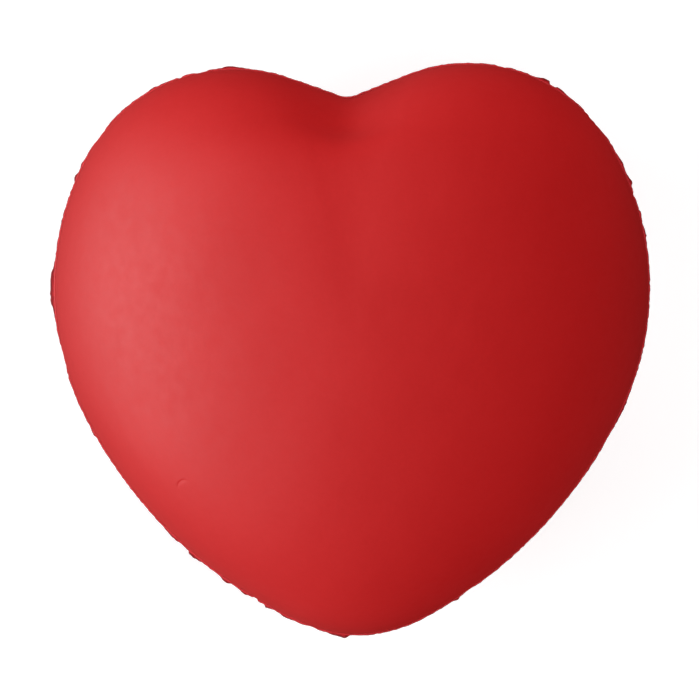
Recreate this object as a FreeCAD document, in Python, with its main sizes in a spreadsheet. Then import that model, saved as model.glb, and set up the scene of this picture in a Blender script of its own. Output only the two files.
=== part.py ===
"""Heart-shaped squeeze toy of moulded polyurethane foam, lying on its back.

The outline is in the XY plane with the two lobes towards +Y and the tip towards -Y, and the
thickness is along Z. The toy was cast in a mould of two halves, so it is made of a foam core, a
coat from each half of the mould, and the fin of flash that was left where the halves met.
Lengths are in millimetres and angles in degrees. The origin is in the middle of the small flat
patch that the toy rests on.
"""
import FreeCAD, Part
import Sketcher
import math
import os

DOC = FreeCAD.newDocument("heart")
SHEET = DOC.addObject("Spreadsheet::Sheet", "sheet")

# Each size of the toy: name, value, what it is.
SIZES = [
    ("notch_height", 27.02, "pole to the bottom of the notch, along Y"),
    ("notch_round", 3.01, "radius that rounds the bottom of the notch"),
    ("notch_slope", 20.50, "slope of the notch's sides"),
    ("notch_straight", 6.57, "straight length of each side of the notch"),
    ("lobe_radius", 19.88, "radius over the top of each lobe"),
    ("lobe_heading", 61.50, "direction of the outline where the lobe's arc ends, below X"),
    ("side_radius", 33.90, "radius at the widest part"),
    ("side_heading", 115.60, "direction of the outline where the side's arc ends, below X"),
    ("flank_radius", 54.65, "radius of the long flank"),
    ("flank_heading", 153.75, "direction of the outline where the flank's arc ends, below X"),
    ("thickness", 45.00, "rest face to the highest point of the front"),
    ("rest_sink", 0.55, "how far the rear is flattened by its own weight"),
    ("fullness", 0.10, "how much fuller the dome is than an ellipse"),
    ("valley_round", 2.20, "half width over which the notch's crease is rounded just above it"),
    ("valley_rise", 20.00, "angle up the dome over which that rounding grows"),
    ("valley_fill", 16.00, "half width by which the crease is wider still near the pole"),
    ("valley_start", 27.00, "angle up the dome where the crease is deepest and starts to fade"),
    ("valley_length", 66.00, "angle up the dome where it has faded away"),
    ("crease_depth", 0.65, "how much deeper than the notch the crease is, at its deepest"),
    ("crease_width", 4.60, "half width of that deeper part"),
    ("valley_low", 6.00, "height above the pole, along Y, where the filling begins"),
    ("valley_high", 18.00, "height above the pole, along Y, where it is whole"),
    ("tip_reach", 14.00, "half width over which the keel above the tip is rounded, high up"),
    ("tip_rise", 50.00, "angle up the dome over which that rounding grows"),
    ("tip_keep", 0.80, "part of that rounding that fills the flanks and leaves the keel in place"),
    ("tip_low", 2.00, "depth below the pole, along Y, where that rounding begins"),
    ("tip_high", 20.00, "depth below the pole, along Y, where it is whole"),
    ("coat", 0.50, "thickness of the coat"),
    ("coat_gap", 0.10, "clear space between the front coat and the foam"),
    ("flash_reach", 0.25, "how far the trimmed flash stands out of the side"),
    ("flash_thick", 0.45, "thickness of the flash"),
    ("scrap_across", 27.95, "mid-line to the centre of the untrimmed scrap's edge, along X"),
    ("scrap_height", 4.97, "pole to the centre of the scrap's edge, along Y"),
    ("scrap_radius", 8.50, "radius of the scrap's edge"),
    ("nub_across", 2.30, "mid-line to the centre of the nub at the tip, along X"),
    ("nub_below", 34.64, "pole to the centre of the nub, along Y"),
    ("nub_radius", 3.20, "radius of the nub"),
]
for row, (name, value, words) in enumerate(SIZES, start=1):
    SHEET.set("A%d" % row, name)
    SHEET.set("B%d" % row, "%g" % value)
    SHEET.set("C%d" % row, words)
    SHEET.setAlias("B%d" % row, name)
DOC.recompute()


def size(name):
    """The value of one cell."""
    return float(SHEET.get(name))


def rad(name):
    """The value of one angle cell, in radians."""
    return math.radians(size(name))


def half_outline(offset):
    """The right half of the outline, moved outwards by offset, from the notch to the tip.

    It is a chain of tangent pieces, each given as (kind, start, heading, turn, radius or length).
    A positive turn is to the left. The tip's arc has the one radius that ends it on the mid-line.
    """
    chain = []
    place = [0.0, size("notch_height") + offset]
    heading = 0.0

    def arc(radius, turn):
        nonlocal heading
        chain.append(("arc", tuple(place), heading, turn, radius))
        side = 1.0 if turn > 0 else -1.0
        end = heading + turn
        place[0] += side * radius * (math.sin(end) - math.sin(heading))
        place[1] -= side * radius * (math.cos(end) - math.cos(heading))
        heading = end

    arc(size("notch_round") - offset, rad("notch_slope"))
    straight = size("notch_straight")
    chain.append(("line", tuple(place), heading, 0.0, straight))
    place[0] += straight * math.cos(heading)
    place[1] += straight * math.sin(heading)
    arc(size("lobe_radius") + offset, -rad("notch_slope") - rad("lobe_heading"))
    arc(size("side_radius") + offset, rad("lobe_heading") - rad("side_heading"))
    arc(size("flank_radius") + offset, rad("side_heading") - rad("flank_heading"))
    arc(place[0] / math.sin(math.pi - rad("flank_heading")), rad("flank_heading") - math.pi)
    return chain


def along(piece, part):
    """The point at a fraction of one piece of the outline."""
    kind, start, heading, turn, measure = piece
    if kind == "line":
        return (
            start[0] + part * measure * math.cos(heading),
            start[1] + part * measure * math.sin(heading),
        )
    side = 1.0 if turn > 0 else -1.0
    end = heading + part * turn
    return (
        start[0] + side * measure * (math.sin(end) - math.sin(heading)),
        start[1] - side * measure * (math.cos(end) - math.cos(heading)),
    )


STEPS = (2, 3, 10, 9, 9, 4)  # points on each piece of the half outline
RINGS = 12  # rings of points from the widest line up to each pole


def loop(offset):
    """Points all round the outline, from the notch down the right side and up the left."""
    right = []
    for piece, steps in zip(half_outline(offset), STEPS):
        for k in range(steps):
            right.append(along(piece, k / steps))
    tip = along(half_outline(offset)[-1], 1.0)
    left = [(-x, y) for x, y in reversed(right)]
    return right + [(0.0, tip[1])] + left


def smooth(t):
    """0 below 0, 1 above 1, and a rise between them that starts and ends with no bend."""
    t = min(max(t, 0.0), 1.0)
    return t * t * t * (t * (6.0 * t - 15.0) + 10.0)


def half_thickness():
    """Half of the thickness that the toy would have if it were not flattened."""
    return (size("thickness") + size("rest_sink")) / 2.0


def corner_rise(x, radius, slope):
    """How far a V with a slope and a rounded corner rises above its lowest point."""
    end = radius * math.sin(slope)
    if abs(x) < end:
        return radius - math.sqrt(radius * radius - x * x)
    return radius * (1.0 - math.cos(slope)) + math.tan(slope) * (abs(x) - end)


def wide_rise(x, reach, radius, slope):
    """The same for a V rounded over a half width of reach, level with the first far out."""
    lowered = radius * (1.0 / math.cos(slope) - 1.0)
    return math.tan(slope) * math.hypot(x, reach) - lowered


def notch_fill(x, y, up, offset):
    """How far the crease above the notch is moved up, to be rounder and deeper and then to fade."""
    faded = smooth((abs(up) - rad("valley_start")) / (rad("valley_length") - rad("valley_start")))
    reach = size("valley_round") + size("valley_fill") * faded
    corner = (size("notch_round") - offset, rad("notch_slope"))
    fill = wide_rise(x, reach, *corner) - corner_rise(x, *corner)
    fill *= smooth(abs(up) / rad("valley_rise"))
    crease = size("crease_depth") * smooth(abs(up) / rad("valley_start")) * (1.0 - faded)
    fill -= crease * math.exp(-((x / size("crease_width")) ** 2))
    return fill * smooth((y - size("valley_low")) / (size("valley_high") - size("valley_low")))


def tip_fill(x, y, up, offset):
    """How far the dome above the tip is moved, so that the tip's keel gets rounder going up."""
    corner = (half_outline(offset)[-1][4], math.pi - rad("flank_heading"))
    fill = wide_rise(x, size("tip_reach"), *corner) - corner_rise(x, *corner)
    fill -= size("tip_keep") * wide_rise(0.0, size("tip_reach"), *corner)
    fill *= smooth(abs(up) / rad("tip_rise"))
    return fill * smooth((-y - size("tip_low")) / (size("tip_high") - size("tip_low")))


def dome_point(x, y, up, offset):
    """The outline's point (x, y) carried up the dome to the angle up, in radians.

    Each ring is the outline shrunk towards the pole, with the notch and the tip softened.
    """
    shrink = math.cos(up)
    rise = math.sin(up) * (1.0 + size("fullness") * shrink * shrink)
    fill = notch_fill(x, y, up, offset) + tip_fill(x, y, up, offset)
    middle = size("thickness") - half_thickness()
    height = middle + (half_thickness() + offset) * rise
    return FreeCAD.Vector(shrink * x, shrink * (y + fill), height)


def interpolated(points, params, closed):
    """The poles, multiplicities and knots of the cubic through the points at the parameters."""
    curve = Part.BSplineCurve()
    curve.interpolate(Points=points, Parameters=params, PeriodicFlag=closed)
    return curve.getPoles(), curve.getMultiplicities(), curve.getKnots()


def heart_solid(offset):
    """The solid heart, moved outwards by offset.

    Its surface is one cubic net through rings of points. The rings share their parameters, so
    the net is exact, and it closes to a point at each pole.
    """
    outline = loop(offset)[:-1]
    rounds = [float(k) for k in range(len(outline) + 1)]
    angles = [90.0 * ring / RINGS for ring in range(-RINGS, RINGS + 1)]
    rings = []
    for angle in angles[1:-1]:
        points = [dome_point(x, y, math.radians(angle), offset) for x, y in outline]
        poles, round_mults, round_knots = interpolated(points, rounds, True)
        rings.append(poles)
    count = len(rings[0])
    rings.insert(0, [dome_point(0.0, 0.0, math.radians(angles[0]), offset)] * count)
    rings.append([dome_point(0.0, 0.0, math.radians(angles[-1]), offset)] * count)
    columns = []
    for column in zip(*rings):
        poles, rise_mults, rise_knots = interpolated(list(column), angles, False)
        columns.append(poles)
    surface = Part.BSplineSurface()
    surface.buildFromPolesMultsKnots(
        columns, round_mults, rise_mults, round_knots, rise_knots, True, False, 3, 3
    )
    solid = Part.Solid(Part.Shell([surface.toShape()]))
    if solid.Volume < 0:
        solid.reverse()
    return solid


def shaped(name, shape):
    """A document object whose shape is set by the code above."""
    thing = DOC.addObject("Part::Feature", name)
    thing.Label = name
    thing.Shape = shape
    return thing


def cut(name, base, tool):
    """The base with the tool taken away."""
    thing = DOC.addObject("Part::Cut", name)
    thing.Label = name
    thing.Base = base
    thing.Tool = tool
    return thing


def common(name, first, second):
    """What two shapes share."""
    thing = DOC.addObject("Part::Common", name)
    thing.Label = name
    thing.Base = first
    thing.Tool = second
    return thing


PARTING = "(sheet.thickness - sheet.rest_sink) / 2"


def slab(name, low, high):
    """A box wider than the toy, between two heights given as formulas."""
    thing = DOC.addObject("Part::Box", name)
    thing.Label = name
    formulas = {
        "Length": "3 * sheet.thickness",
        "Width": "3 * sheet.thickness",
        "Height": "(%s) - (%s)" % (high, low),
        ".Placement.Base.x": "-1.5 * sheet.thickness",
        ".Placement.Base.y": "-1.5 * sheet.thickness",
        ".Placement.Base.z": low,
    }
    for where, formula in formulas.items():
        thing.setExpression(where, formula)
    return thing


# The foam core, flattened a little at the back where the toy rests.
foam_blank = shaped("foam_blank", heart_solid(-size("coat")))
foam_slab = slab("foam_slab", "sheet.coat", "2 * sheet.thickness")
foam_core = common("foam_core", foam_blank, foam_slab)

# The coat from the rear half of the mould fits the foam. The one from the front half stands
# clear of it by the gap, because it belongs to the side that a squeeze moves.
heart = shaped("heart", heart_solid(0.0))
rear_slab = slab("rear_slab", "0 * sheet.thickness", PARTING)
rear_blank = common("rear_blank", heart, rear_slab)
rear_skin = cut("rear_skin", rear_blank, foam_core)

hollow = shaped("hollow", heart_solid(size("coat_gap") - size("coat")))
front_slab = slab("front_slab", PARTING, "2 * sheet.thickness")
front_blank = common("front_blank", heart, front_slab)
front_skin = cut("front_skin", front_blank, hollow)


def plane_of(body, role):
    """One of a body's own origin planes."""
    for feature in body.Origin.OriginFeatures:
        if feature.Role == role:
            return feature


def flat_sketch(body, name):
    """A sketch on the body's XY plane, raised to the parting line."""
    sketch = body.newObject("Sketcher::SketchObject", name)
    sketch.Label = name
    sketch.AttachmentSupport = [(plane_of(body, "XY_Plane"), "")]
    sketch.MapMode = "FlatFace"
    sketch.setExpression("AttachmentOffset.Base.z", PARTING)
    return sketch


def rule(sketch, formula, *constraint):
    """Add a constraint and bind its value to a formula, if there is one."""
    index = sketch.addConstraint(Sketcher.Constraint(*constraint))
    if formula:
        sketch.setExpression("Constraints[%d]" % index, formula)


def arc_between(centre, radius, ends):
    """An arc of a circle as sketch geometry, anticlockwise between two angles."""
    circle = Part.Circle(FreeCAD.Vector(centre[0], centre[1], 0), FreeCAD.Vector(0, 0, 1), radius)
    return Part.ArcOfCircle(circle, ends[0], ends[1])


def centre_and_ends(piece):
    """The centre of one arc of the outline, and its two end angles in rising order."""
    kind, start, heading, turn, radius = piece
    side = 1.0 if turn > 0 else -1.0
    centre = (start[0] - side * radius * math.sin(heading), start[1] + side * radius * math.cos(heading))
    first = heading - side * math.pi / 2
    return centre, radius, sorted((first, first + turn))


def mirrored(centre, radius, ends):
    """The same arc on the other side of the mid-line."""
    return (-centre[0], centre[1]), radius, [math.pi - ends[1], math.pi - ends[0]]


def across_middle(piece):
    """The whole of the arc at the notch or the tip, of which the outline holds the right half."""
    centre, radius, ends = centre_and_ends(piece)
    half_turn = ends[1] - ends[0]
    return arc_between(centre, radius, (-math.pi / 2 - half_turn, -math.pi / 2 + half_turn))


def draw_outline(sketch, offset):
    """Draw the whole outline moved outwards by offset, and tie it to the sheet.

    The pieces are numbered from the notch down the right side, round the tip and up the left.
    """
    notch, line, lobe, side, flank, tip = half_outline(offset)
    ends = [along(line, 0.0), along(line, 1.0)]
    right = [centre_and_ends(piece) for piece in (lobe, side, flank)]
    left = [mirrored(*arc) for arc in reversed(right)]
    shapes = [across_middle(notch)]
    shapes.append(Part.LineSegment(*[FreeCAD.Vector(x, y, 0) for x, y in ends]))
    shapes += [arc_between(*arc) for arc in right]
    shapes.append(across_middle(tip))
    shapes += [arc_between(*arc) for arc in left]
    shapes.append(Part.LineSegment(*[FreeCAD.Vector(-x, y, 0) for x, y in ends]))
    sketch.addGeometry(shapes, False)
    y_axis = -2
    # Each joint is smooth: (piece, its end) to (piece, its end), where 1 is a start and 2 an end.
    joints = ((0, 2, 1, 1), (1, 2, 2, 2), (2, 1, 3, 2), (3, 1, 4, 2), (4, 1, 5, 2))
    joints += ((5, 1, 6, 2), (6, 1, 7, 2), (7, 1, 8, 2), (8, 1, 9, 2), (9, 1, 0, 1))
    for joint in joints:
        rule(sketch, None, "Tangent", *joint)
    for piece in (0, 5):
        rule(sketch, None, "PointOnObject", piece, 3, y_axis)
    radii = {
        0: ("notch_round", "-"),
        2: ("lobe_radius", "+"),
        3: ("side_radius", "+"),
        4: ("flank_radius", "+"),
    }
    for piece, (cell, sign) in radii.items():
        value = size(cell) + (offset if sign == "+" else -offset)
        rule(sketch, "sheet.%s %s sheet.flash_reach" % (cell, sign), "Radius", piece, value)
    for first, second in ((2, 8), (3, 7), (4, 6), (1, 9)):
        rule(sketch, None, "Equal", first, second)
    rule(sketch, "sheet.notch_straight", "Distance", 1, size("notch_straight"))
    rule(sketch, "sheet.notch_slope * 1 deg", "Angle", 1, rad("notch_slope"))
    turns = {
        2: ("notch_slope", "lobe_heading", "+"),
        3: ("side_heading", "lobe_heading", "-"),
        4: ("flank_heading", "side_heading", "-"),
    }
    for piece, (first, second, sign) in turns.items():
        value = rad(first) + (rad(second) if sign == "+" else -rad(second))
        formula = "(sheet.%s %s sheet.%s) * 1 deg" % (first, sign, second)
        rule(sketch, formula, "Angle", piece, value)
    for first, first_end, second, second_end in ((1, 1, 9, 1), (2, 1, 8, 2)):
        rule(sketch, None, "Horizontal", first, first_end, second, second_end)
    height = size("notch_height") + size("notch_round")
    rule(sketch, "sheet.notch_height + sheet.notch_round", "DistanceY", -1, 1, 0, 3, height)


def draw_circle(sketch, across, along_y, radius, cells):
    """Draw a circle and tie its place and radius to three formulas."""
    circle = Part.Circle(FreeCAD.Vector(across, along_y, 0), FreeCAD.Vector(0, 0, 1), radius)
    sketch.addGeometry(circle, False)
    rule(sketch, cells[0], "DistanceX", -1, 1, 0, 3, across)
    rule(sketch, cells[1], "DistanceY", -1, 1, 0, 3, along_y)
    rule(sketch, cells[2], "Radius", 0, radius)


def pad(body, sketch, name):
    """Thicken a sketch downwards from the parting line by the flash's thickness."""
    feature = body.newObject("PartDesign::Pad", name)
    feature.Label = name
    feature.Profile = sketch
    feature.Reversed = True
    feature.setExpression("Length", "sheet.flash_thick")
    return feature


# The flash is a trimmed fin all round the parting line, with a scrap left on one side and a nub
# at the tip. It is drawn as solid sheets, and the heart is then taken out of the middle.
flash_body = DOC.addObject("PartDesign::Body", "flash_body")
flash_body.Label = "flash_body"
fin_outline = flat_sketch(flash_body, "fin_outline")
draw_outline(fin_outline, size("flash_reach"))
pad(flash_body, fin_outline, "fin")

for name, across, upwards in (
    ("scrap", "-sheet.scrap_across", "sheet.scrap_height"),
    ("nub", "-sheet.nub_across", "-sheet.nub_below"),
):
    edge = flat_sketch(flash_body, name + "_outline")
    centre_x = -size(name + "_across")
    centre_y = size("scrap_height") if name == "scrap" else -size("nub_below")
    radius = "sheet.%s_radius" % name
    draw_circle(edge, centre_x, centre_y, size(name + "_radius"), (across, upwards, radius))
    pad(flash_body, edge, name)

parting_flash = cut("parting_flash", flash_body, heart)
DOC.recompute()

for thing in DOC.Objects:
    if "Invalid" in thing.State or "Error" in thing.State:
        raise SystemExit("%s did not build: %s" % (thing.Label, thing.State))

PIECES = (foam_core, front_skin, rear_skin, parting_flash)
os.makedirs("parts", exist_ok=True)
for piece in PIECES:
    shape = piece.Shape
    if shape.isNull() or not shape.isValid() or len(shape.Solids) != 1:
        raise SystemExit("%s is not one sound solid" % piece.Label)
    shape.exportStep("parts/%s.step" % piece.Label)
    print("%-14s %10.1f mm3  %d faces" % (piece.Label, shape.Volume, len(shape.Faces)))
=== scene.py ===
"""A heart-shaped foam stress ball, lying on its back on a pale floor in soft studio light.

The pieces are built in mesh code in the CAD frame: X across, Y from the tip to the lobes, Z up
through the thickness. Lengths are in metres and angles in radians, unless a name says degrees.
"""
import math
import bmesh
import bpy
import numpy as np
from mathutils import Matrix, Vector


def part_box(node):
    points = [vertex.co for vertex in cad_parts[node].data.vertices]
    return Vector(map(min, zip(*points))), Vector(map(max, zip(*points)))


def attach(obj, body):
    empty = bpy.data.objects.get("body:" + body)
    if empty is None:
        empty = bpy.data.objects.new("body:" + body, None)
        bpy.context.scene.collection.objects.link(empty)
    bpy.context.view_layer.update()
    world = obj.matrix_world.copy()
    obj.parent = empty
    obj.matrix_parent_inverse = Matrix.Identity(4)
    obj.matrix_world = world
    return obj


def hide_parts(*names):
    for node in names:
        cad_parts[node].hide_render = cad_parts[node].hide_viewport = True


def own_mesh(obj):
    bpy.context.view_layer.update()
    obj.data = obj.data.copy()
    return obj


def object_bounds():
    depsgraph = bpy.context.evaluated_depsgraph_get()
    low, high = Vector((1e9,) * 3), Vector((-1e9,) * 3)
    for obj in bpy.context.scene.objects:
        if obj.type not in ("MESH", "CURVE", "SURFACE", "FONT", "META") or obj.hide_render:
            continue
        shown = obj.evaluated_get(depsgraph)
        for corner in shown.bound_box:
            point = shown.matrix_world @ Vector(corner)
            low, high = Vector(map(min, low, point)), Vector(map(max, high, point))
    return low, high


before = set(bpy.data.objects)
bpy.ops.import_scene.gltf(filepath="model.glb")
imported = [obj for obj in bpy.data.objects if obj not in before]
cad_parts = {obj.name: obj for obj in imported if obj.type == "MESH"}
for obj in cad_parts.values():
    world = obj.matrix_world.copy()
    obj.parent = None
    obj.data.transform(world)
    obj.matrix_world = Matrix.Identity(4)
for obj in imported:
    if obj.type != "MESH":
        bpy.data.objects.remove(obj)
cad_low, cad_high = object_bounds()

MM = 0.001
front_low, front_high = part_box("front_skin")
core_low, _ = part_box("foam_core")
flash_low, flash_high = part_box("parting_flash")

# The toy's driving sizes, as the CAD has them.
NOTCH_HEIGHT = 27.02 * MM
NOTCH_ROUND = 3.01 * MM
NOTCH_SLOPE = math.radians(20.50)
NOTCH_STRAIGHT = 6.57 * MM
LOBE_RADIUS = 19.88 * MM
LOBE_HEADING = math.radians(61.50)
SIDE_RADIUS = 33.90 * MM
SIDE_HEADING = math.radians(115.60)
FLANK_RADIUS = 54.65 * MM
FLANK_HEADING = math.radians(153.75)
FULLNESS = 0.10
VALLEY_ROUND = 2.2 * MM
VALLEY_RISE = math.radians(20.0)
VALLEY_FILL = 16.0 * MM
VALLEY_START = math.radians(27.0)
VALLEY_LENGTH = math.radians(66.0)
CREASE_DEPTH = 0.65 * MM
CREASE_WIDTH = 4.6 * MM
VALLEY_LOW = 6.0 * MM
VALLEY_HIGH = 18.0 * MM
TIP_REACH = 14.0 * MM
TIP_RISE = math.radians(50.0)
TIP_KEEP = 0.8
TIP_LOW = 2.0 * MM
TIP_HIGH = 20.0 * MM
COAT = 0.50 * MM
COAT_GAP = 0.10 * MM
FLASH_REACH = 0.25 * MM

# Heights that the frame gives.
FLOOR = cad_low.z
PARTING = front_low.z
TOP = front_high.z
HALF_THICKNESS = TOP - PARTING
FLASH_THICK = flash_high.z - flash_low.z


# ---------------------------------------------------------------- shape of the toy


def half_outline(offset):
    """The right half of the outline, moved out by offset, as tangent pieces from notch to tip.

    Each piece is (x, y, heading, turn, measure): an arc has a turn and its radius, and a straight
    has no turn and its length.
    """
    chain = []
    x, y, heading = 0.0, NOTCH_HEIGHT + offset, 0.0

    def add(measure, turn):
        nonlocal x, y, heading
        chain.append((x, y, heading, turn, measure))
        step_x, step_y = travel(heading, turn, measure, 1.0)
        x, y, heading = x + step_x, y + step_y, heading + turn

    add(NOTCH_ROUND - offset, NOTCH_SLOPE)
    add(NOTCH_STRAIGHT, 0.0)
    add(LOBE_RADIUS + offset, -NOTCH_SLOPE - LOBE_HEADING)
    add(SIDE_RADIUS + offset, LOBE_HEADING - SIDE_HEADING)
    add(FLANK_RADIUS + offset, SIDE_HEADING - FLANK_HEADING)
    add(x / math.sin(math.pi - FLANK_HEADING), FLANK_HEADING - math.pi)
    return chain


def travel(heading, turn, measure, part):
    """How far one piece of the outline goes in X and in Y, up to a part of it."""
    if turn == 0.0:
        return part * measure * math.cos(heading), part * measure * math.sin(heading)
    side = math.copysign(measure, turn)
    now = heading + part * turn
    return side * (np.sin(now) - math.sin(heading)), -side * (np.cos(now) - math.cos(heading))


def piece_lengths(chain):
    """The length of each piece of the outline."""
    return np.array([measure * (abs(turn) or 1.0) for _, _, _, turn, measure in chain])


def outline(share, offset):
    """Points of the outline moved out by offset: share 0 is the notch, 1 or -1 the tip."""
    share = np.asarray(share, float)
    chain = half_outline(offset)
    lengths = piece_lengths(chain)
    ends = np.cumsum(lengths)
    gone = np.abs(share) * ends[-1]
    number = np.minimum(np.searchsorted(ends, gone), len(chain) - 1)
    across = np.zeros_like(share)
    along = np.zeros_like(share)
    for k, (x, y, heading, turn, measure) in enumerate(chain):
        here = number == k
        part = (gone[here] - ends[k] + lengths[k]) / lengths[k]
        step_x, step_y = travel(heading, turn, measure, part)
        across[here] = x + step_x
        along[here] = y + step_y
    return np.sign(share) * across, along


HALF_LENGTH = float(piece_lengths(half_outline(0.0)).sum())  # notch to tip along the outline


def smooth(value):
    """0 below 0, 1 above 1, and a rise between them that starts and ends with no bend."""
    value = np.clip(value, 0.0, 1.0)
    return value**3 * (value * (6.0 * value - 15.0) + 10.0)


def corner_rise(x, radius, slope):
    """How far a V with a slope and a rounded corner rises above its lowest point."""
    end = radius * math.sin(slope)
    near = radius - np.sqrt(radius**2 - np.minimum(np.abs(x), end) ** 2)
    return near + math.tan(slope) * np.maximum(np.abs(x) - end, 0.0)


def wide_rise(x, reach, radius, slope):
    """The same for a V rounded over a half width of reach, level with the first far out."""
    lowered = radius * (1.0 / math.cos(slope) - 1.0)
    return math.tan(slope) * np.hypot(x, reach) - lowered


def notch_fill(x, y, up, offset):
    """How far the crease above the notch is moved up, to be rounder and deeper and then to fade."""
    faded = smooth((np.abs(up) - VALLEY_START) / (VALLEY_LENGTH - VALLEY_START))
    reach = VALLEY_ROUND + VALLEY_FILL * faded
    corner = (NOTCH_ROUND - offset, NOTCH_SLOPE)
    fill = wide_rise(x, reach, *corner) - corner_rise(x, *corner)
    fill *= smooth(np.abs(up) / VALLEY_RISE)
    crease = CREASE_DEPTH * smooth(np.abs(up) / VALLEY_START) * (1.0 - faded)
    fill -= crease * np.exp(-((x / CREASE_WIDTH) ** 2))
    return fill * smooth((y - VALLEY_LOW) / (VALLEY_HIGH - VALLEY_LOW))


def tip_fill(x, y, up, offset):
    """How far the dome above the tip is moved, so that the tip's keel gets rounder going up."""
    corner = (half_outline(offset)[-1][4], math.pi - FLANK_HEADING)
    fill = wide_rise(x, TIP_REACH, *corner) - corner_rise(x, *corner)
    fill -= TIP_KEEP * wide_rise(0.0, TIP_REACH, *corner)
    fill *= smooth(np.abs(up) / TIP_RISE)
    return fill * smooth((-y - TIP_LOW) / (TIP_HIGH - TIP_LOW))


def dome(share, up, offset):
    """The outline carried up the dome to the angle up, with the notch and the tip softened."""
    x, y = outline(share, offset)
    shrink = np.cos(up)
    rise = np.sin(up) * (1.0 + FULLNESS * shrink**2)
    fill = notch_fill(x, y, up, offset) + tip_fill(x, y, up, offset)
    height = PARTING + (HALF_THICKNESS + offset) * rise
    return np.stack([shrink * x, shrink * (y + fill), height], axis=-1)


def disc_grid(count):
    """A square grid pressed into a disc: how far round the outline and how far up each point is."""
    line = np.linspace(-1.0, 1.0, count + 1)
    a, b = (grid.ravel() for grid in np.meshgrid(line, line, indexing="ij"))
    x = a * np.sqrt(1.0 - b * b / 2.0)
    y = b * np.sqrt(1.0 - a * a / 2.0)
    climb = 1.0 - np.minimum(np.hypot(x, y), 1.0)
    return np.arctan2(x, y) / math.pi, climb * math.pi / 2.0


def grid_faces(count, first):
    """The four-sided faces of a square grid whose points start at number first."""
    row = count + 1
    corner = (np.arange(count)[:, None] * row + np.arange(count)[None, :]).ravel() + first
    return np.stack([corner, corner + 1, corner + row + 1, corner + row], axis=1).tolist()


def grid_border(count, first):
    """The numbers of a square grid's border points, once round."""
    row = count + 1
    side = np.arange(count)
    loop = [side, count + side * row, count * row + count - side, (count - side) * row]
    return (np.concatenate(loop) + first).tolist()


# ---------------------------------------------------------------- small unevenness


def waves(points, length, seed):
    """Smooth seeded unevenness between about -1 and 1, whose waves are about one length long."""
    chance = np.random.default_rng(seed)
    total = np.zeros(len(points))
    count = 14
    for _ in range(count):
        direction = chance.normal(size=3)
        direction /= np.linalg.norm(direction)
        pitch = 2.0 * math.pi / (length * chance.uniform(0.7, 1.5))
        total += np.sin(points @ direction * pitch + chance.uniform(0.0, 2.0 * math.pi))
    return total / math.sqrt(count)


def ring_noise(places, length, seed):
    """Seeded noise of about -1 to 1 along the flash, with one value a length and a smooth join."""
    chance = np.random.default_rng(seed)
    count = round(2.0 * HALF_LENGTH / length)
    values = chance.uniform(-1.0, 1.0, count)
    spot = (places / (2.0 * HALF_LENGTH) % 1.0) * count
    low = np.floor(spot).astype(int)
    blend = smooth(spot - low)
    return values[low % count] * (1.0 - blend) + values[(low + 1) % count] * blend


# ---------------------------------------------------------------- mesh helpers


def mesh_object(name, points, faces):
    """A smooth-shaded mesh object with its faces turned outwards."""
    mesh = bpy.data.meshes.new(name)
    mesh.from_pydata(np.asarray(points).tolist(), [], faces)
    mesh.validate()
    work = bmesh.new()
    work.from_mesh(mesh)
    bmesh.ops.recalc_face_normals(work, faces=work.faces)
    work.to_mesh(mesh)
    work.free()
    mesh.polygons.foreach_set("use_smooth", [True] * len(mesh.polygons))
    thing = bpy.data.objects.new(name, mesh)
    bpy.context.scene.collection.objects.link(thing)
    return thing


def refine(thing, centre, reach, cuts):
    """Divide the faces near a point, so that a small mark can be pressed into them."""
    work = bmesh.new()
    work.from_mesh(thing.data)
    near = [f for f in work.faces if (f.calc_center_median() - centre).length < reach]
    edges = list({edge for face in near for edge in face.edges})
    bmesh.ops.subdivide_edges(work, edges=edges, cuts=cuts, use_grid_fill=True)
    work.to_mesh(thing.data)
    work.free()
    thing.data.polygons.foreach_set("use_smooth", [True] * len(thing.data.polygons))


def read_points(thing):
    """The vertices and their normals, as two arrays."""
    mesh = thing.data
    points = np.zeros(len(mesh.vertices) * 3)
    normals = np.zeros(len(mesh.vertices) * 3)
    mesh.vertices.foreach_get("co", points)
    mesh.vertices.foreach_get("normal", normals)
    return points.reshape(-1, 3), normals.reshape(-1, 3)


def move_points(thing, points):
    """Put the vertices in new places."""
    thing.data.vertices.foreach_set("co", points.astype(np.float32).ravel())
    thing.data.update()


# ---------------------------------------------------------------- the coat

FINE = 280  # steps across the outer face of each half of the coat
COARSE = 70  # steps across its hidden inner face
SWELL = 0.035 * MM  # height of the long, gentle waves in the moulded surface
SWELL_LENGTH = 15.0 * MM
DIMPLE = 0.006 * MM  # height of the short ones
DIMPLE_LENGTH = 2.6 * MM
SEAM_GAP = 0.02 * MM  # the rear coat stops this far short of the front one, behind the flash
SEAM_FADE = math.radians(10.0)  # the waves die out towards the parting line
NICK_PLACE = (-20.3 * MM, -18.9 * MM)
NICK_RADIUS = 0.76 * MM
NICK_STEEP = 0.09 * MM  # half width of the groove on its outer side
NICK_GENTLE = 0.26 * MM  # half width of the groove on its inner side
NICK_DEPTH = 0.060 * MM
NICK_MIDDLE = math.radians(125.0)  # direction from the crescent's centre to its deepest point
NICK_REACH = math.radians(115.0)  # how far round from there it runs, each way
NICK_AREA = 2.0 * MM  # nothing is pressed further than this from the crescent's centre
FINER_AREA = 1.8 * MM  # the mesh is divided this far round it
FINER_CUTS = 4


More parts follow.
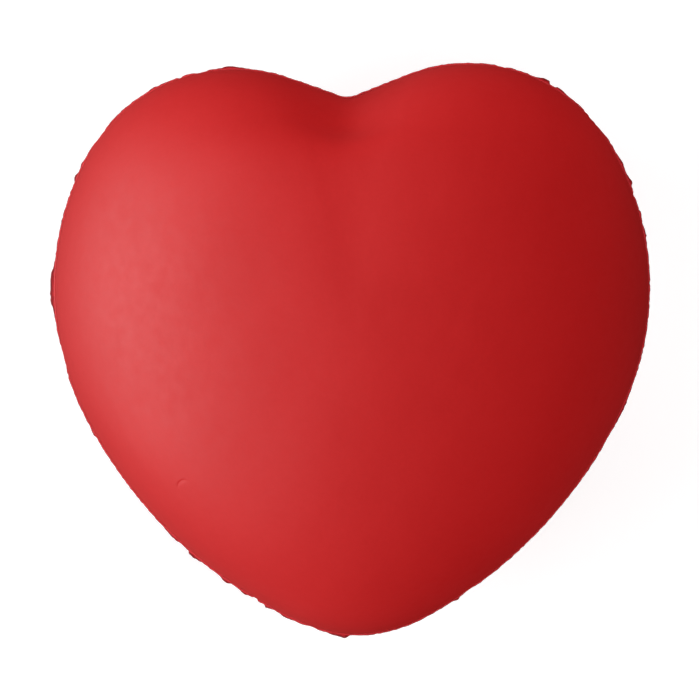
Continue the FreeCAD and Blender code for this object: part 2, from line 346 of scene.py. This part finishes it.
def half_coat(name, side, inner_offset):
    """One half of the coat, a thin closed shell: side is 1 for the front and -1 for the rear."""
    share, up = disc_grid(FINE)
    outer = dome(share, side * up, 0.0)
    faces = grid_faces(FINE, 0)
    inner_share, inner_up = disc_grid(COARSE)
    inner = dome(inner_share, side * inner_up, inner_offset)
    faces += grid_faces(COARSE, len(outer))
    outer_loop = grid_border(FINE, 0)
    inner_loop = grid_border(COARSE, len(outer))
    ratio = FINE // COARSE
    for k, start in enumerate(inner_loop):
        wide = [outer_loop[(k * ratio + j) % len(outer_loop)] for j in range(ratio + 1)]
        faces.append(wide + [inner_loop[(k + 1) % len(inner_loop)], start])
    thing = mesh_object(name, np.concatenate([outer, inner]), faces)
    points, normals = read_points(thing)
    uneven = SWELL * waves(points, SWELL_LENGTH, 11) + DIMPLE * waves(points, DIMPLE_LENGTH, 12)
    fade = np.zeros(len(points))
    fade[: len(outer)] = smooth(up / SEAM_FADE)
    points += normals * (uneven * fade)[:, None]
    flat = FLOOR + (0.0 if side < 0 else -1.0)
    lowest = np.where(np.arange(len(points)) < len(outer), flat, flat + COAT)
    points[:, 2] = np.maximum(points[:, 2], lowest)
    points[:, 2] = np.minimum(points[:, 2], TOP if side > 0 else PARTING - SEAM_GAP)
    move_points(thing, points)
    return thing


def press_nick(thing):
    """A small crescent nick in the front coat, as a fingernail leaves."""
    x, y = NICK_PLACE
    points, _ = read_points(thing)
    near = np.hypot(points[:, 0] - x, points[:, 1] - y) < 1.0 * MM
    height = points[near][:, 2].max()
    refine(thing, Vector((x, y, height)), FINER_AREA, FINER_CUTS)
    points, normals = read_points(thing)
    away = points - np.array([x, y, height])
    radius = np.hypot(away[:, 0], away[:, 1])
    angle = np.arctan2(away[:, 1], away[:, 0]) - NICK_MIDDLE
    angle = (angle + math.pi) % (2.0 * math.pi) - math.pi
    arc = smooth(1.0 - np.abs(angle) / NICK_REACH)
    width = np.where(radius > NICK_RADIUS, NICK_STEEP, NICK_GENTLE)
    groove = np.exp(-(((radius - NICK_RADIUS) / width) ** 2))
    close = (radius < NICK_AREA) & (np.abs(away[:, 2]) < 3.0 * MM) & (normals[:, 2] > 0.2)
    depth = np.where(close, NICK_DEPTH * groove * arc, 0.0)
    move_points(thing, points - normals * depth[:, None])


# ---------------------------------------------------------------- the foam core

CORE_STEPS = 150
CELL_ROUGH = 0.03 * MM  # depth of the unevenness that the foam's cells leave
CELL_LENGTH = 1.1 * MM
CELL_LOWERED = 1.6  # lowered by this many depths, so that nearly all of it goes inwards


def foam_body():
    """The moulded foam inside the coat: two domes joined at the parting line, flat underneath."""
    share, up = disc_grid(CORE_STEPS)
    front = dome(share, up, -COAT)
    rear = dome(share, -up, -COAT)
    count = len(front)
    faces = grid_faces(CORE_STEPS, 0) + grid_faces(CORE_STEPS, count)
    border = grid_border(CORE_STEPS, 0)
    twin = {number + count: number for number in border}
    faces = [[twin.get(number, number) for number in face] for face in faces]
    used = sorted({number for face in faces for number in face})
    order = {number: k for k, number in enumerate(used)}
    faces = [[order[number] for number in face] for face in faces]
    thing = mesh_object("foam_core_body", np.concatenate([front, rear])[used], faces)
    points, normals = read_points(thing)
    pits = CELL_ROUGH * (waves(points, CELL_LENGTH, 31) - CELL_LOWERED)
    points += normals * np.minimum(pits, 0.0)[:, None]
    points[:, 2] = np.maximum(points[:, 2], core_low.z)
    move_points(thing, points)
    return thing


# ---------------------------------------------------------------- the flash

RING_STEPS = 2600
RAGGED = 0.040 * MM  # how unevenly the edge is torn
RAGGED_LENGTH = 0.40 * MM
UNEVEN = 0.030 * MM  # how unevenly it was trimmed
UNEVEN_LENGTH = 4.0 * MM
LEAST_REACH = 0.07 * MM
THICK_SHARE = 0.86  # the fin's thickness as a share of the CAD's, and how much that varies
THICK_VARIES = 0.10
THICK_LENGTH = 1.7 * MM
TEAR = 0.30  # how much the torn edge's height varies, as a share of half of the thickness
TEAR_LENGTH = 0.35 * MM

# The fin's section: a rounded bead against the body, and outside it a thinner torn edge. Each
# point is its distance outwards in mm and its height as a share of half of the fin's thickness.
BEAD = ((-0.30, 0.7), (-0.04, 0.95), (0.02, 1.40), (0.08, 1.60), (0.14, 1.35), (0.18, 0.75))
# The torn edge goes on from the bead's last point: each point is its share of the way to the tip.
EDGE = ((0.2, 0.60), (0.5, 0.60), (0.8, 0.50), (0.96, 0.15), (1.0, -0.10), (0.96, -0.45), (0.5, -0.8))
BEAD_END = BEAD[-1][0] * MM
UNDER = ((0.05, -0.95), (-0.30, -0.8))

# What the trimming left, chosen from a measured profile of the edge and rounded: place
# along the outline from the notch, with the left side negative, how far it stands out, and how
# far it runs towards the notch and away from it, all in mm.
LUMPS = (
    (19.2, -0.10, 1.0, 1.5), (25.1, 0.30, 2.2, 0.4), (26.4, 0.16, 0.3, 1.8),
    (32.8, -0.14, 3.5, 3.0), (38.6, 0.14, 1.6, 1.2), (41.0, 0.25, 1.4, 0.5),
    (42.4, -0.10, 0.4, 0.6), (44.6, 0.13, 0.3, 1.2), (47.5, 0.13, 1.5, 0.3), (68.4, 0.13, 4.0, 5.0),
    (97.9, -0.12, 2.0, 1.0), (99.4, 0.13, 0.3, 0.8), (-15.1, 0.22, 3.0, 0.7),
    (-18.3, -0.17, 1.6, 1.2), (-20.8, -0.17, 0.4, 0.5), (-24.4, 0.12, 1.0, 0.8),
    (-32.8, -0.13, 2.0, 2.0), (-36.9, 0.13, 1.0, 0.8), (-38.5, 0.17, 0.8, 0.9),
    (-52.4, 0.33, 5.0, 4.6), (-50.4, 0.12, 0.8, 3.0), (-53.9, 0.12, 3.0, 0.8),
    (-60.3, -0.14, 3.0, 4.0), (-70.6, 0.13, 1.3, 0.4), (-86.6, 0.12, 3.0, 0.9),
    (-89.0, 0.28, 0.4, 2.6), (-94.5, 0.22, 1.4, 0.8), (-97.2, 0.14, 1.6, 0.6),
    (-98.7, -0.30, 0.7, 0.3), (-100.2, 0.20, 0.3, 0.9), (-102.9, 0.18, 1.5, 1.2),
    (-106.2, -0.14, 1.4, 1.2), (-110.2, 0.32, 2.8, 0.7), (-110.6, 0.10, 0.8, 0.3),
)


def flash_reach(places):
    """How far the fin stands out of the side, at places in metres along the outline."""
    reach = FLASH_REACH + RAGGED * ring_noise(places, RAGGED_LENGTH, 21)
    reach += UNEVEN * ring_noise(places, UNEVEN_LENGTH, 22)
    for place, height, nearer, further in LUMPS:
        past = math.copysign(1.0, place) * places / MM - abs(place)
        reach += height * MM * (1.0 - smooth(np.where(past < 0.0, -past / nearer, past / further)))
    return np.maximum(reach, LEAST_REACH)


def flash_section(reach, tear):
    """The fin's section at each place: lists of distances outwards and of shares of the height."""
    scale = np.minimum(reach / FLASH_REACH, 1.0)
    outwards = [np.where(out < 0.0, out * MM, out * MM * scale) for out, _ in BEAD]
    heights = [np.full_like(reach, height) for _, height in BEAD]
    start = BEAD_END * scale
    for part, height in EDGE:
        outwards.append(start + part * (reach - start))
        heights.append(height + tear * math.sin(math.pi * min(part, 0.96)))
    for out, height in UNDER:
        outwards.append(np.where(out < 0.0, out * MM, out * MM * scale))
        heights.append(np.full_like(reach, height))
    return outwards, heights


def flash_fin():
    """The fin of flash all round the parting line: a bead, and a torn edge outside it.

    Its first material slot is the bead, in a paler red that is painted highlight, the second the near
    part of the torn edge, and the third that edge's outer part and its underside, in a dark red that
    is painted shade.
    """
    places = np.linspace(-HALF_LENGTH, HALF_LENGTH, RING_STEPS, endpoint=False)
    share = places / HALF_LENGTH
    x, y = outline(share, 0.0)
    further_x, further_y = outline(share, 0.1 * MM)
    out = np.stack([further_x - x, further_y - y], axis=-1)
    tangent = np.stack([np.roll(x, -1) - np.roll(x, 1), np.roll(y, -1) - np.roll(y, 1)], axis=-1)
    normal = np.stack([-tangent[:, 1], tangent[:, 0]], axis=-1)
    normal /= np.linalg.norm(normal, axis=1)[:, None]
    normal *= np.sign((normal * out).sum(axis=1))[:, None]
    uneven = THICK_SHARE + THICK_VARIES * ring_noise(places, THICK_LENGTH, 23)
    thick = 0.5 * FLASH_THICK * uneven
    tear = TEAR * ring_noise(places, TEAR_LENGTH, 24)
    outwards, heights = flash_section(flash_reach(places), tear)
    count = len(outwards)
    rings = []
    for far, height in zip(outwards, heights):
        level = PARTING + thick * (height - 1.0)
        rings.append(np.stack([x + normal[:, 0] * far, y + normal[:, 1] * far, level], axis=-1))
    points = np.stack(rings, axis=1).reshape(-1, 3)
    faces = []
    for ring in range(RING_STEPS):
        after = (ring + 1) % RING_STEPS
        for k in range(count):
            beside = (k + 1) % count
            faces.append([
                ring * count + k,
                ring * count + beside,
                after * count + beside,
                after * count + k,
            ])
    thing = mesh_object("parting_fin", points, faces)
    first = len(BEAD) - 1
    slots = [0] * first + [1, 1] + [2] * (count - first - 2)
    thing.data.polygons.foreach_set("material_index", slots * RING_STEPS)
    return thing


# ---------------------------------------------------------------- materials


def new_material(name):
    """An empty node material, with its tree, principled shader and object coordinates."""
    material = bpy.data.materials.new(name)
    material.use_nodes = True
    tree = material.node_tree
    shader = tree.nodes["Principled BSDF"]
    place = tree.nodes.new("ShaderNodeTexCoord").outputs["Object"]
    return material, tree, shader, place


def noise(tree, place, size, detail=2.0, rough=0.5):
    """Noise whose blotches are about size across, in metres."""
    made = tree.nodes.new("ShaderNodeTexNoise")
    made.inputs["Scale"].default_value = 1.0 / size
    made.inputs["Detail"].default_value = detail
    made.inputs["Roughness"].default_value = rough
    tree.links.new(place, made.inputs["Vector"])
    return made.outputs["Fac"]


def cells(tree, place, size):
    """Rounded cells about size across, in metres."""
    made = tree.nodes.new("ShaderNodeTexVoronoi")
    made.inputs["Scale"].default_value = 1.0 / size
    tree.links.new(place, made.inputs["Vector"])
    return made.outputs["Distance"]


def ramp(tree, value, stops):
    """A colour for each value, through the stops (value, colour)."""
    made = tree.nodes.new("ShaderNodeValToRGB")
    elements = made.color_ramp.elements
    while len(elements) < len(stops):
        elements.new(0.5)
    for element, (position, colour) in zip(elements, stops):
        element.position = position
        element.color = (*colour, 1.0)
    tree.links.new(value, made.inputs["Fac"])
    return made.outputs["Color"]


def span(tree, value, low, high):
    """The value, which goes from about 0.3 to 0.7, spread between low and high."""
    made = tree.nodes.new("ShaderNodeMapRange")
    made.inputs["From Min"].default_value = 0.3
    made.inputs["From Max"].default_value = 0.7
    made.inputs["To Min"].default_value = low
    made.inputs["To Max"].default_value = high
    tree.links.new(value, made.inputs["Value"])
    return made.outputs["Result"]


def tinted(tree, colour, value, low, high):
    """The colour multiplied by a value spread between low and high."""
    made = tree.nodes.new("ShaderNodeVectorMath")
    made.operation = "SCALE"
    tree.links.new(colour, made.inputs[0])
    tree.links.new(span(tree, value, low, high), made.inputs["Scale"])
    return made.outputs["Vector"]


def bump(tree, height, distance, under=None):
    """Bump of a height in metres, on top of another bump if there is one."""
    made = tree.nodes.new("ShaderNodeBump")
    made.inputs["Distance"].default_value = distance
    tree.links.new(height, made.inputs["Height"])
    if under is not None:
        tree.links.new(under, made.inputs["Normal"])
    return made.outputs["Normal"]


COAT_RED = (0.608, 0.0114, 0.0122)
COAT_DEEP_RED = (0.592, 0.0104, 0.0112)


def coat_material():
    """The satin red skin of the foam: faintly mottled, with a very fine moulded grain."""
    material, tree, shader, place = new_material("coat_red_satin")
    mottle = noise(tree, place, 9.0 * MM, detail=3.0)
    colour = ramp(tree, mottle, ((0.35, COAT_DEEP_RED), (0.65, COAT_RED)))
    colour = tinted(tree, colour, noise(tree, place, 0.35 * MM, detail=3.0), 0.985, 1.015)
    tree.links.new(colour, shader.inputs["Base Color"])
    rough = span(tree, noise(tree, place, 1.3 * MM, detail=4.0), 0.65, 0.71)
    tree.links.new(rough, shader.inputs["Roughness"])
    shader.inputs["IOR"].default_value = 1.5
    shader.inputs["Specular IOR Level"].default_value = 1.0
    peel = bump(tree, noise(tree, place, 1.2 * MM, detail=2.0), 0.016 * MM)
    grain = bump(tree, noise(tree, place, 0.22 * MM, detail=2.0), 0.004 * MM, peel)
    tree.links.new(grain, shader.inputs["Normal"])
    return material


def flash_material(name, dark, light, blotch):
    """The same skin where the blade went: rougher, and mottled between two reds, which are paler on the
    bead as painted highlight and darker on the outer edge as painted shade.
    """
    material, tree, shader, place = new_material(name)
    mottle = noise(tree, place, blotch, detail=4.0, rough=0.6)
    tree.links.new(ramp(tree, mottle, ((0.35, dark), (0.65, light))), shader.inputs["Base Color"])
    rough = span(tree, noise(tree, place, 0.5 * MM, detail=3.0), 0.55, 0.70)
    tree.links.new(rough, shader.inputs["Roughness"])
    cut = bump(tree, noise(tree, place, 0.30 * MM, detail=4.0, rough=0.65), 0.05 * MM)
    tree.links.new(cut, shader.inputs["Normal"])
    return material


def foam_material():
    """Open-celled polyurethane foam, hidden inside the coat, darker in the pits of its cells as painted
    shade.
    """
    material, tree, shader, place = new_material("foam_open_cell")
    pores = cells(tree, place, 0.8 * MM)
    # The dark brown in the pits of the cells is painted shade; the pale yellow between them is the
    # foam's own colour.
    colour = ramp(tree, pores, ((0.10, (0.42, 0.33, 0.20)), (0.55, (0.80, 0.72, 0.55))))
    tree.links.new(colour, shader.inputs["Base Color"])
    shader.inputs["Roughness"].default_value = 0.92
    holes = bump(tree, pores, 0.25 * MM)
    tree.links.new(holes, shader.inputs["Normal"])
    return material


def backdrop_material():
    """Plain white cloth that glows evenly, with a faint weave."""
    material, tree, shader, place = new_material("backdrop_white")
    weave = ramp(tree, noise(tree, place, 0.05), ((0.4, (0.05, 0.05, 0.05)), (0.6, (0.06, 0.06, 0.06))))
    tree.links.new(weave, shader.inputs["Base Color"])
    shader.inputs["Roughness"].default_value = 1.0
    shader.inputs["Emission Color"].default_value = (1.0, 1.0, 1.0, 1.0)
    shader.inputs["Emission Strength"].default_value = 1.0
    return material


def floor_material():
    """A plain white table top, which glows a little so that it stays pale in shadow."""
    material, tree, shader, place = new_material("floor_white")
    colour = ramp(tree, noise(tree, place, 0.4), ((0.4, (0.52, 0.52, 0.52)), (0.6, (0.54, 0.54, 0.54))))
    tree.links.new(colour, shader.inputs["Base Color"])
    shader.inputs["Roughness"].default_value = 0.8
    shader.inputs["Emission Color"].default_value = (1.0, 1.0, 1.0, 1.0)
    shader.inputs["Emission Strength"].default_value = 0.67
    return material


# ---------------------------------------------------------------- stage, camera and light

TABLE_RADIUS = 0.8
TABLE_SIDES = 96
TENT_RADIUS = 3.0


def seen_only(thing):
    """Keep a stage piece out of the light: it is seen, and neither lights nor shades the toy."""
    thing.visible_diffuse = False
    thing.visible_glossy = False
    thing.visible_shadow = False


def table_top():
    """The pale floor, a disc that the toy rests on."""
    turns = [math.tau * k / TABLE_SIDES for k in range(TABLE_SIDES)]
    points = [(TABLE_RADIUS * math.cos(a), TABLE_RADIUS * math.sin(a), FLOOR) for a in turns]
    thing = mesh_object("floor", points, [list(range(TABLE_SIDES))])
    thing.data.materials.append(floor_material())
    seen_only(thing)


def backdrop():
    """The plain white tent far behind, all round and above and below."""
    work = bmesh.new()
    bmesh.ops.create_uvsphere(work, u_segments=48, v_segments=24, radius=TENT_RADIUS)
    mesh = bpy.data.meshes.new("backdrop")
    work.to_mesh(mesh)
    work.free()
    thing = bpy.data.objects.new("backdrop", mesh)
    bpy.context.scene.collection.objects.link(thing)
    mesh.materials.append(backdrop_material())
    seen_only(thing)


CAMERA_LENS = 240.0  # mm, on a sensor 36 mm wide
CAMERA_VIEW = 84.47 * MM  # width seen at the height of the parting line
CAMERA_PLACE = (-0.42 * MM, -3.33 * MM)
CAMERA_ROLL = math.radians(-1.322)


def add_camera():
    """Straight above the toy, which lies on its back, turned a little out of line with it."""
    data = bpy.data.cameras.new("camera")
    data.lens = CAMERA_LENS
    data.sensor_width = 36.0
    data.clip_start = 0.01
    data.clip_end = 20.0
    thing = bpy.data.objects.new("camera", data)
    distance = CAMERA_VIEW * CAMERA_LENS / data.sensor_width
    thing.location = (*CAMERA_PLACE, PARTING + distance)
    thing.rotation_euler = (0.0, 0.0, CAMERA_ROLL)
    bpy.context.scene.collection.objects.link(thing)
    bpy.context.scene.camera = thing


def softbox(name, azimuth, elevation, distance, width, height, power, glossy=True):
    """A soft light facing the toy. Azimuth 0 degrees is towards +X and 90 towards +Y.

    One that isn't glossy stands for light that is spread evenly by the walls of a light tent.
    """
    data = bpy.data.lights.new(name, "AREA")
    data.shape = "RECTANGLE"
    data.size = width
    data.size_y = height
    data.energy = power
    thing = bpy.data.objects.new(name, data)
    around = math.radians(azimuth)
    above = math.radians(elevation)
    towards = Vector((
        math.cos(above) * math.cos(around),
        math.cos(above) * math.sin(around),
        math.sin(above),
    ))
    thing.location = towards * distance + Vector((0.0, 0.0, PARTING))
    thing.rotation_mode = "QUATERNION"
    thing.rotation_quaternion = towards.to_track_quat("Z", "Y")
    thing.visible_camera = False
    thing.visible_glossy = glossy
    # With this left on, a lamp kept out of the gloss still added a sheen of its own.
    data.cycles.use_multiple_importance_sampling = glossy
    bpy.context.scene.collection.objects.link(thing)


# The light tent: name, azimuth and elevation in degrees, distance, width, height, watts, glossy.
LIGHTS = (
    ("key_left", 180.0, 22.0, 1.1, 1.1, 0.8, 12.4, True),
    ("key_low", 155.0, 8.0, 1.1, 0.7, 0.6, 0.9, True),
    ("tent_front", 270.0, 20.0, 1.1, 0.9, 0.8, 6.05, False),
    ("tent_back", 90.0, 20.0, 1.1, 0.9, 0.8, 6.05, False),
    ("tent_right", 50.0, 25.0, 1.1, 0.9, 0.8, 1.20, False),
    ("tent_top", 0.0, 68.0, 1.1, 0.9, 0.9, 4.10, False),
    ("table_glow", 345.0, -60.0, 1.1, 0.9, 0.8, 4.4, False),
)
AMBIENT = 0.03


def add_world():
    """A faint, even white light from all round."""
    world = bpy.data.worlds.new("surround")
    world.use_nodes = True
    background = world.node_tree.nodes["Background"]
    background.inputs["Color"].default_value = (1.0, 1.0, 1.0, 1.0)
    background.inputs["Strength"].default_value = AMBIENT
    bpy.context.scene.world = world


# ---------------------------------------------------------------- the toy, piece by piece


def fit_piece(thing, node, body, material):
    """Give a piece its material, and tie it to the CAD body that it moves and flattens with."""
    thing.data.materials.append(material)
    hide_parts(node)
    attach(thing, body)
    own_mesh(thing)


coat_red = coat_material()
front = half_coat("front_coat", 1, COAT_GAP - COAT)
press_nick(front)
fit_piece(front, "front_skin", "front", coat_red)

rear = half_coat("rear_coat", -1, -COAT)
fit_piece(rear, "rear_skin", "back", coat_red)

core = foam_body()
fit_piece(core, "foam_core", "back", foam_material())

fin = flash_fin()
# The bead's paler, pinker red is painted highlight, standing in for the sheen that its rounded top
# catches.
bead_red_painted_highlight = flash_material("flash_red_bead_painted_highlight", (0.68, 0.036, 0.042), (0.74, 0.052, 0.062), 1.6 * MM)
torn_red = flash_material("flash_red_torn", (0.38, 0.010, 0.014), (0.62, 0.022, 0.028), 0.5 * MM)
# The dark red of the torn edge's outer part and underside is painted shade, standing in for the shade
# at the outer edge.
edge_red_painted_shade = flash_material("flash_red_edge_painted_shade", (0.22, 0.008, 0.011), (0.32, 0.012, 0.016), 0.8 * MM)
fit_piece(fin, "parting_flash", "back", bead_red_painted_highlight)
for material in (torn_red, edge_red_painted_shade):
    fin.data.materials.append(material)

table_top()
backdrop()
add_camera()
add_world()
for light in LIGHTS:
    softbox(*light)
bpy.context.scene.view_settings.view_transform = "Standard"
